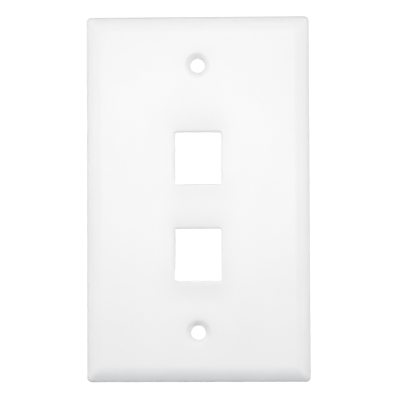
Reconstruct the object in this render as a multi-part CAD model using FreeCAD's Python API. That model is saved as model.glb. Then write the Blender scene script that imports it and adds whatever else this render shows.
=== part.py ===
import FreeCAD, Part

import math
import os

# Two-port keystone wall plate: a single injection moulding in plain white plastic.
#
# The plate stands upright, as it is screwed to a wall: +Z is up, +X is to the viewer's right, and
# the front faces -Y. The wall plane is y = 0. The origin lies in it, halfway between the screws.
# A depth is a distance behind the front face, towards the wall. Lengths are in millimetres and
# angles in degrees.

# Plate outline and walls
PLATE_WIDTH = 69.85
PLATE_HEIGHT = 114.3
PLATE_DEPTH = 5.6
PLATE_CORNER_RADIUS = 1.5
FACE_WALL = 2.2
SKIRT_WALL = 2.0
SKIRT_DRAFT = 2.0

# Crowned edge: a wide arc leaves the flat face, a narrow flat runs on down its slope, and a tight
# arc turns from that to the skirt
CROWN_RADIUS = 5.0
CROWN_SLOPE = 32.0
CROWN_FLAT = 1.5
EDGE_RADIUS = 1.8

# Hollow behind the face
HOLLOW_DRAFT = 1.5
HOLLOW_FILLET = 1.0

# Ports, in a column that hangs a little low on the plate
PORT_COUNT = 2
PORT_WIDTH = 14.5
PORT_HEIGHT = 16.1
PORT_SPACING = 30.1
PORT_COLUMN_DROP = 2.4
PORT_CORNER_RADIUS = 0.4
PORT_EDGE_RADIUS = 0.25

# Where a keystone jack snaps in: its fixed lug hooks over the upper ledge, and its springy
# latch clicks behind the lower one
SEAT_DEPTH = 8.0
LEDGE_THICKNESS = 1.6
LEDGE_LEAD_IN = 0.7
SIDE_RELIEF = 0.1
LATCH_POCKET_HEIGHT = 4.0
LATCH_LEDGE_SETBACK = 1.8
LUG_POCKET_HEIGHT = 2.9
LUG_LEDGE_SETBACK = 1.5
LUG_SLOT_WIDTH = 1.7

# Collar that carries each seat
COLLAR_SIDE_WALL = 1.6
COLLAR_END_WALL = 1.6
COLLAR_CORNER_RADIUS = 0.8
COLLAR_DRAFT = 0.5
COLLAR_ROOT_RADIUS = 0.4
COLLAR_RIM_RADIUS = 0.25
SHELF_WALL = 1.5

# Cover screws, number 6 with an oval head, and the bosses behind their holes
SCREW_SPACING = 83.34
SCREW_HOLE_DIAMETER = 4.5
COUNTERSINK_DIAMETER = 7.5
COUNTERSINK_ANGLE = 82.0
BOSS_DIAMETER = 9.5
BOSS_DRAFT = 1.0
BOSS_CLEARANCE = 0.8
BOSS_CHAMFER = 0.3

# Marks that the ejector pins leave on the inner side of the face
PIN_MARK_DIAMETER = 5.0
PIN_MARK_DEPTH = 0.15
PIN_COLUMN_SPACING = 39.2
PIN_ROW_HEIGHTS = (-38.5, -17.5, 17.5, 38.5)

# How far a cut runs past what it cuts, and how far an edge may lie outside the place that it is
# looked for in
OVERCUT = 1.0
TOLERANCE = 0.001

COLLAR_DEPTH = SEAT_DEPTH + LEDGE_THICKNESS
SEAT_WIDTH = PORT_WIDTH + 2 * SIDE_RELIEF
COLLAR_WIDTH = SEAT_WIDTH + 2 * COLLAR_SIDE_WALL
TOWARDS_WALL = FreeCAD.Vector(0, 1, 0)


def at(x, depth, z):
    """The point at a depth behind the front face."""
    return FreeCAD.Vector(x, depth - PLATE_DEPTH, z)


def sine(angle):
    return math.sin(math.radians(angle))


def cosine(angle):
    return math.cos(math.radians(angle))


def tangent(angle):
    return math.tan(math.radians(angle))


def polygon_face(points):
    return Part.Face(Part.makePolygon(points + points[:1]))


def edges_through(shape):
    """The edges that run towards the wall."""
    return [edge for edge in shape.Edges if edge.BoundBox.YLength > TOLERANCE]


def edges_around(shape, depth, half_width, low, high):
    """The edges in the plane at this depth, within half_width of the middle and from low to high."""
    corner = at(-half_width, depth, low)
    reach = FreeCAD.BoundBox(corner, at(half_width, depth, high))
    reach.enlarge(TOLERANCE)
    return [edge for edge in shape.Edges if reach.isInside(edge.BoundBox)]


def rolled_section(half_span, front_depth, rear_depth, draft, arcs, place):
    """The face of a section with a flat front, rolled edges and drafted sides.

    Each arc is (radius, first slope, last slope, length of the straight run after it), in order
    from the flat front outwards. The place function turns an offset from the middle and a depth
    into a point.
    """
    rolled = []
    run = 0.0
    drop = 0.0
    for radius, first, last, straight in arcs:
        points = []
        for slope in (first, (first + last) / 2, last):
            along = run + radius * (sine(slope) - sine(first))
            down = drop + radius * (cosine(first) - cosine(slope))
            points.append((along, down))
        run, drop = points[-1]
        if straight:
            run += straight * cosine(last)
            drop += straight * sine(last)
            points.append((run, drop))
        rolled.append(points)
    side_depth = front_depth + drop
    side_offset = half_span - (rear_depth - side_depth) * tangent(draft)
    flat = side_offset - run
    edges = [
        Part.makeLine(place(-flat, front_depth), place(flat, front_depth)),
        Part.makeLine(place(-half_span, rear_depth), place(half_span, rear_depth)),
    ]
    for side in (-1, 1):
        for points in rolled:
            corners = [place(side * (flat + along), front_depth + down) for along, down in points]
            edges.append(Part.Arc(*corners[:3]).toShape())
            if len(corners) > 3:
                edges.append(Part.makeLine(*corners[2:]))
        top = place(side * side_offset, side_depth)
        edges.append(Part.makeLine(top, place(side * half_span, rear_depth)))
    return Part.Face(Part.Wire(Part.sortEdges(edges)[0]))


def crowned_block():
    """The outside of the plate: its edge section run both ways and intersected, with soft hips."""
    crown = (CROWN_RADIUS, 0.0, CROWN_SLOPE, CROWN_FLAT)
    arcs = [crown, (EDGE_RADIUS, CROWN_SLOPE, 90.0 - SKIRT_DRAFT, 0.0)]
    shape = (0.0, PLATE_DEPTH, SKIRT_DRAFT, arcs)
    half_width = PLATE_WIDTH / 2
    half_height = PLATE_HEIGHT / 2
    across = rolled_section(half_width, *shape, lambda x, depth: at(x, depth, -half_height))
    upright = rolled_section(half_height, *shape, lambda z, depth: at(-half_width, depth, z))
    long_prism = across.extrude(FreeCAD.Vector(0, 0, PLATE_HEIGHT))
    block = long_prism.common(upright.extrude(FreeCAD.Vector(PLATE_WIDTH, 0, 0)))
    return block.makeFillet(PLATE_CORNER_RADIUS, edges_through(block))


def tapered_block(width, height, front_depth, rear_depth, draft, centre_z=0.0):
    """A block of this size at its rear, whose sides open outwards by the draft towards its front."""
    spread = (rear_depth - front_depth) * tangent(draft)
    low = at(-width / 2, front_depth, centre_z - height / 2)
    high = at(width / 2, rear_depth, centre_z + height / 2)
    return Part.makeWedge(
        low.x - spread,
        low.y,
        low.z - spread,
        low.z,
        low.x,
        high.x + spread,
        high.y,
        high.z + spread,
        high.z,
        high.x,
    )


def hollow_block():
    """The space behind the face, inside the skirt."""
    width = PLATE_WIDTH - 2 * SKIRT_WALL
    height = PLATE_HEIGHT - 2 * SKIRT_WALL
    block = tapered_block(width, height, FACE_WALL, PLATE_DEPTH, -HOLLOW_DRAFT)
    edges = edges_through(block) + edges_around(block, FACE_WALL, width, -height, height)
    return block.makeFillet(HOLLOW_FILLET, edges)


def collar_span(port_z):
    """The lower and upper ends of a port's collar."""
    low = port_z - PORT_HEIGHT / 2 - LATCH_POCKET_HEIGHT - COLLAR_END_WALL
    high = port_z + PORT_HEIGHT / 2 + LUG_POCKET_HEIGHT + COLLAR_END_WALL
    return low, high


def collar(port_z):
    """The block behind a port, before the passage through it is cut."""
    low, high = collar_span(port_z)
    size = (COLLAR_WIDTH, high - low, FACE_WALL / 2, COLLAR_DEPTH, COLLAR_DRAFT)
    block = tapered_block(*size, (low + high) / 2)
    block = block.makeFillet(COLLAR_CORNER_RADIUS, edges_through(block))
    rim = edges_around(block, COLLAR_DEPTH, COLLAR_WIDTH / 2, low, high)
    return block.makeFillet(COLLAR_RIM_RADIUS, rim)


def shelf_relief(port_z):
    """The space above the shelf that roofs a port, open upwards and to both sides."""
    _, high = collar_span(port_z)
    bottom = port_z + PORT_HEIGHT / 2 + SHELF_WALL
    depth = SEAT_DEPTH - LUG_SLOT_WIDTH - SHELF_WALL - FACE_WALL
    width = COLLAR_WIDTH + 2 * OVERCUT
    start = at(-width / 2, FACE_WALL, bottom)
    return Part.makeBox(width, depth, high + OVERCUT - bottom, start)


def port_opening(port_z):
    """The window through the face."""
    size = (PORT_WIDTH, PORT_HEIGHT, -OVERCUT, FACE_WALL, 0.0)
    block = tapered_block(*size, port_z)
    return block.makeFillet(PORT_CORNER_RADIUS, edges_through(block))


def seat_passage(port_z):
    """The stepped space inside a collar: a section seen from the side, run across its width."""
    top = port_z + PORT_HEIGHT / 2
    bottom = port_z - PORT_HEIGHT / 2
    upper_tip = top + LUG_LEDGE_SETBACK
    lower_tip = bottom - LATCH_LEDGE_SETBACK
    slot_depth = SEAT_DEPTH - LUG_SLOT_WIDTH
    lead_in_depth = COLLAR_DEPTH - LEDGE_LEAD_IN
    flare = LEDGE_LEAD_IN + OVERCUT
    section = [
        (FACE_WALL, bottom - LATCH_POCKET_HEIGHT),
        (SEAT_DEPTH, bottom - LATCH_POCKET_HEIGHT),
        (SEAT_DEPTH, lower_tip),
        (lead_in_depth, lower_tip),
        (COLLAR_DEPTH + OVERCUT, lower_tip - flare),
        (COLLAR_DEPTH + OVERCUT, upper_tip + flare),
        (lead_in_depth, upper_tip),
        (SEAT_DEPTH, upper_tip),
        (SEAT_DEPTH, top + LUG_POCKET_HEIGHT),
        (slot_depth, top + LUG_POCKET_HEIGHT),
        (slot_depth, top),
        (FACE_WALL, top),
    ]
    side = polygon_face([at(-SEAT_WIDTH / 2, depth, z) for depth, z in section])
    return side.extrude(FreeCAD.Vector(SEAT_WIDTH, 0, 0))


def turned(section, centre_z):
    """A section of (radius, depth) corners, turned round an axis that points at the wall."""
    side = polygon_face([at(radius, depth, centre_z) for radius, depth in section])
    return side.revolve(at(0, 0, centre_z), TOWARDS_WALL, 360)


def screw_boss(screw_z):
    """The stub round a screw hole. It stops short of the wall, so that the plate's rim seats first."""
    end_depth = PLATE_DEPTH - BOSS_CLEARANCE
    end_radius = BOSS_DIAMETER / 2
    root_radius = end_radius + (end_depth - FACE_WALL) * tangent(BOSS_DRAFT)
    section = [
        (0, FACE_WALL / 2),
        (root_radius + BOSS_CHAMFER, FACE_WALL / 2),
        (root_radius + BOSS_CHAMFER, FACE_WALL),
        (root_radius, FACE_WALL + BOSS_CHAMFER),
        (end_radius, end_depth - BOSS_CHAMFER),
        (end_radius - BOSS_CHAMFER, end_depth),
        (0, end_depth),
    ]
    return turned(section, screw_z)


def screw_hole(screw_z):
    """A bore with a countersink at the front face."""
    bore_radius = SCREW_HOLE_DIAMETER / 2
    slope = tangent(COUNTERSINK_ANGLE / 2)
    sink_depth = (COUNTERSINK_DIAMETER / 2 - bore_radius) / slope
    section = [
        (0, -OVERCUT),
        (COUNTERSINK_DIAMETER / 2 + OVERCUT * slope, -OVERCUT),
        (bore_radius, sink_depth),
        (bore_radius, PLATE_DEPTH),
        (0, PLATE_DEPTH),
    ]
    return turned(section, screw_z)


def pin_mark(x, z):
    start = at(x, FACE_WALL - PIN_MARK_DEPTH, z)
    return Part.makeCylinder(PIN_MARK_DIAMETER / 2, PIN_MARK_DEPTH + OVERCUT, start, TOWARDS_WALL)


def make_faceplate():
    lowest_port = -PORT_SPACING * (PORT_COUNT - 1) / 2 - PORT_COLUMN_DROP
    port_centres = [lowest_port + PORT_SPACING * index for index in range(PORT_COUNT)]
    screw_centres = [-SCREW_SPACING / 2, SCREW_SPACING / 2]
    pin_columns = [-PIN_COLUMN_SPACING / 2, PIN_COLUMN_SPACING / 2]

    plate = crowned_block().cut(hollow_block())
    plate = plate.fuse([collar(z) for z in port_centres])
    roots = []
    for port_z in port_centres:
        low, high = collar_span(port_z)
        reach = (COLLAR_WIDTH, low - OVERCUT, high + OVERCUT)
        roots += edges_around(plate, FACE_WALL, *reach)
    plate = plate.makeFillet(COLLAR_ROOT_RADIUS, roots)

    plate = plate.fuse([screw_boss(z) for z in screw_centres])
    plate = plate.cut([port_opening(z) for z in port_centres])
    mouths = []
    for port_z in port_centres:
        reach = (PORT_WIDTH / 2, port_z - PORT_HEIGHT / 2, port_z + PORT_HEIGHT / 2)
        mouths += edges_around(plate, 0.0, *reach)
    plate = plate.makeFillet(PORT_EDGE_RADIUS, mouths)

    cuts = [shelf_relief(z) for z in port_centres]
    cuts += [seat_passage(z) for z in port_centres]
    cuts += [screw_hole(z) for z in screw_centres]
    cuts += [pin_mark(x, z) for x in pin_columns for z in PIN_ROW_HEIGHTS]
    return plate.cut(cuts).removeSplitter()


os.makedirs("parts", exist_ok=True)
faceplate = make_faceplate()
faceplate.exportStep("parts/faceplate.step")
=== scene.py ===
"""Keystone faceplate: a white moulded wall plate with two jack ports, in soft studio light."""

import math

import bpy
from mathutils import Matrix, Vector

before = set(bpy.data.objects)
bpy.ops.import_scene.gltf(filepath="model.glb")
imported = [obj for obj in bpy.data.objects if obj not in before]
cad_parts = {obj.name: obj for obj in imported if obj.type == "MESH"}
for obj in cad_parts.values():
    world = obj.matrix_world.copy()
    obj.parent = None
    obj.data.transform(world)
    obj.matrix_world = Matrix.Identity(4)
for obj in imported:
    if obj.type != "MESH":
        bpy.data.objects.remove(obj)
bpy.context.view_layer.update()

MM = 0.001

# Camera: a long lens a little to the right of the plate's axis and a little below it.
CAMERA_DISTANCE = 600 * MM
CAMERA_YAW = math.radians(1.77)
CAMERA_PITCH = math.radians(-2.0)
CAMERA_ROLL = math.radians(-0.23)
SENSOR_WIDTH = 36.0
FOCAL_LENGTH = 172.1
SHIFT_X = 0.004
SHIFT_Y = -0.00175

# Plastic: two near whites that drift into each other, and the depth to which light enters.
PLASTIC_LIGHT = (0.906, 0.899, 0.892, 1.0)
PLASTIC_DEEP = (0.888, 0.881, 0.874, 1.0)
TONE_PATCH = 22 * MM
SCATTER_DISTANCE = 3.2 * MM
SCATTER_EVENLY = (1.0, 1.0, 1.0)
PLASTIC_IOR = 1.53

# Surface: a fine moulded grain over slow flow marks, which vary the gloss too.
GRAIN_SIZE = 0.35 * MM
GRAIN_DEPTH = 0.006 * MM
GRAIN_DETAIL = 3.0
FLOW_SIZE = 8 * MM
FLOW_DEPTH = 0.005 * MM
GLOSS_DETAIL = 4.0
ROUGHNESS_RANGE = (0.32, 0.40)
NOISE_RANGE = (0.3, 0.7)
SOFT_EDGE = 1.0 * MM
SOFT_EDGE_SAMPLES = 8

# Sky: (height of the direction, level) stops. It turns from one to the other by the direction's y.
SKY_COLOUR = (1.0, 1.0, 1.0, 1.0)
SKY_IN_FRONT = ((0.0, 0.44), (0.4, 0.34), (0.8, 0.62))
SKY_BEHIND = ((0.16, 1.06), (0.4, 0.2))
SKY_TURN = (-0.1, 0.5)

# Floor.
FLOOR_DROP = 300 * MM
FLOOR_HALF_WIDTH = 3.0
FLOOR_TONE = (0.57, 0.59, 0.62, 1.0)
FLOOR_ROUGHNESS = 0.9
FLOOR_GLOSS = 0.1

# Lamps: name, place, width and power in watts.
LAMPS = (
    ("key", (0.0, -0.15, 0.025), 0.10, 0.048),
    ("fill", (-0.05, -0.60, 0.10), 0.30, 0.29),
    ("left", (-0.53, -0.33, 0.15), 0.50, 1.26),
    ("right", (0.53, -0.33, 0.15), 0.50, 1.22),
    ("rear", (0.0, 0.60, 0.10), 1.20, 1.0),
    ("under", (0.0, 0.30, -0.12), 0.20, 0.27),
)


def new_node(tree, kind, **settings):
    """A node of that kind, with its inputs or properties set by name."""
    node = tree.nodes.new(kind)
    for name, value in settings.items():
        if name in node.inputs:
            node.inputs[name].default_value = value
        else:
            setattr(node, name, value)
    return node


def noise(tree, place, size, detail=2.0):
    """Grey noise with features of that size in metres."""
    node = new_node(tree, "ShaderNodeTexNoise", Scale=1 / size, Detail=detail)
    tree.links.new(place, node.inputs["Vector"])
    return node.outputs["Fac"]


def map_range(tree, value, source, target, kind="LINEAR"):
    """The value brought from the source range to the target range, and held at its ends."""
    node = new_node(tree, "ShaderNodeMapRange", interpolation_type=kind)
    tree.links.new(value, node.inputs["Value"])
    for name, number in zip(("From Min", "From Max", "To Min", "To Max"), source + target):
        node.inputs[name].default_value = number
    return node.outputs["Result"]


def bump(tree, height, depth, below):
    """A bump of that depth in metres over the surface below it."""
    node = new_node(tree, "ShaderNodeBump", Strength=1.0, Distance=depth)
    tree.links.new(height, node.inputs["Height"])
    tree.links.new(below, node.inputs["Normal"])
    return node.outputs["Normal"]


def moulded_plastic():
    """Satin white plastic that light passes into, with soft edges, flow marks and a fine grain."""
    material = bpy.data.materials.new("moulded_white_plastic")
    material.use_nodes = True
    tree = material.node_tree
    shader = tree.nodes["Principled BSDF"]
    place = tree.nodes.new("ShaderNodeTexCoord").outputs["Object"]

    tone = new_node(tree, "ShaderNodeMix", data_type="RGBA")
    drift = map_range(tree, noise(tree, place, TONE_PATCH), NOISE_RANGE, (0.0, 1.0))
    tree.links.new(drift, tone.inputs["Factor"])
    deep, light = [socket for socket in tone.inputs if socket.type == "RGBA"]
    deep.default_value = PLASTIC_DEEP
    light.default_value = PLASTIC_LIGHT
    mixed = [socket for socket in tone.outputs if socket.type == "RGBA"][0]
    tree.links.new(mixed, shader.inputs["Base Color"])

    gloss = map_range(tree, noise(tree, place, FLOW_SIZE, GLOSS_DETAIL), NOISE_RANGE, ROUGHNESS_RANGE)
    tree.links.new(gloss, shader.inputs["Roughness"])

    soft_edge = new_node(tree, "ShaderNodeBevel", samples=SOFT_EDGE_SAMPLES, Radius=SOFT_EDGE)
    flow = bump(tree, noise(tree, place, FLOW_SIZE), FLOW_DEPTH, soft_edge.outputs["Normal"])
    grain = bump(tree, noise(tree, place, GRAIN_SIZE, GRAIN_DETAIL), GRAIN_DEPTH, flow)
    tree.links.new(grain, shader.inputs["Normal"])

    shader.inputs["IOR"].default_value = PLASTIC_IOR
    shader.inputs["Subsurface Weight"].default_value = 1.0
    shader.inputs["Subsurface Radius"].default_value = SCATTER_EVENLY
    shader.inputs["Subsurface Scale"].default_value = SCATTER_DISTANCE
    return material


def levels_by_height(tree, height, stops):
    """The level at each (height, level) stop, joined by straight runs."""
    total = None
    for (low, first), (high, last) in zip(stops, stops[1:]):
        if total is None:
            total = map_range(tree, height, (low, high), (first, last))
        else:
            node = new_node(tree, "ShaderNodeMath", operation="ADD")
            tree.links.new(total, node.inputs[0])
            tree.links.new(map_range(tree, height, (low, high), (0.0, last - first)), node.inputs[1])
            total = node.outputs["Value"]
    return total


def make_world():
    """A white studio: even in front of the plate, and bright near the horizon behind it."""
    world = bpy.data.worlds.new("studio")
    world.use_nodes = True
    tree = world.node_tree
    sky = tree.nodes["Background"]
    sky.inputs["Color"].default_value = SKY_COLOUR
    heading = tree.nodes.new("ShaderNodeTexCoord").outputs["Generated"]
    parts = tree.nodes.new("ShaderNodeSeparateXYZ")
    tree.links.new(heading, parts.inputs["Vector"])
    height = parts.outputs["Z"]
    level = new_node(tree, "ShaderNodeMix")
    turn = map_range(tree, parts.outputs["Y"], SKY_TURN, (0.0, 1.0), "SMOOTHSTEP")
    tree.links.new(turn, level.inputs["Factor"])
    tree.links.new(levels_by_height(tree, height, SKY_IN_FRONT), level.inputs["A"])
    tree.links.new(levels_by_height(tree, height, SKY_BEHIND), level.inputs["B"])
    tree.links.new(level.outputs["Result"], sky.inputs["Strength"])
    bpy.context.scene.world = world


def make_floor():
    """A wide pale floor under the plate."""
    material = bpy.data.materials.new("floor_paper")
    material.use_nodes = True
    shader = material.node_tree.nodes["Principled BSDF"]
    shader.inputs["Base Color"].default_value = FLOOR_TONE
    shader.inputs["Roughness"].default_value = FLOOR_ROUGHNESS
    shader.inputs["Specular IOR Level"].default_value = FLOOR_GLOSS
    mesh = bpy.data.meshes.new("floor")
    half = FLOOR_HALF_WIDTH
    corners = [(-half, -half, 0), (half, -half, 0), (half, half, 0), (-half, half, 0)]
    mesh.from_pydata(corners, [], [(0, 1, 2, 3)])
    mesh.materials.append(material)
    floor = bpy.data.objects.new("floor", mesh)
    floor.location.z = -FLOOR_DROP
    bpy.context.collection.objects.link(floor)


def area_light(name, place, size, power):
    """A square soft light at that place, turned to the plate's centre, and out of sight itself."""
    light = bpy.data.lights.new(name, "AREA")
    light.size = size
    light.energy = power
    lamp = bpy.data.objects.new(name, light)
    lamp.location = place
    lamp.rotation_euler = (-Vector(place)).to_track_quat("-Z", "Y").to_euler()
    lamp.visible_camera = False
    bpy.context.collection.objects.link(lamp)


def make_camera():
    """The camera at the picture's viewing angle."""
    place = CAMERA_DISTANCE * Vector((
        math.sin(CAMERA_YAW) * math.cos(CAMERA_PITCH),
        -math.cos(CAMERA_YAW) * math.cos(CAMERA_PITCH),
        math.sin(CAMERA_PITCH),
    ))
    back = place.normalized()
    right = Vector((0, 0, 1)).cross(back).normalized()
    up = back.cross(right)
    roll = Matrix.Rotation(CAMERA_ROLL, 3, back)
    lens = bpy.data.cameras.new("camera")
    lens.sensor_width = SENSOR_WIDTH
    lens.lens = FOCAL_LENGTH
    lens.shift_x = SHIFT_X
    lens.shift_y = SHIFT_Y
    camera = bpy.data.objects.new("camera", lens)
    turn = roll @ Matrix((right, up, back)).transposed()
    camera.matrix_world = Matrix.Translation(place) @ turn.to_4x4()
    bpy.context.collection.objects.link(camera)
    bpy.context.scene.camera = camera


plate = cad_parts["faceplate"]
plate.material_slots[0].material = moulded_plastic()
make_world()
make_floor()
for lamp in LAMPS:
    area_light(*lamp)
make_camera()
bpy.context.scene.view_settings.view_transform = "Standard"
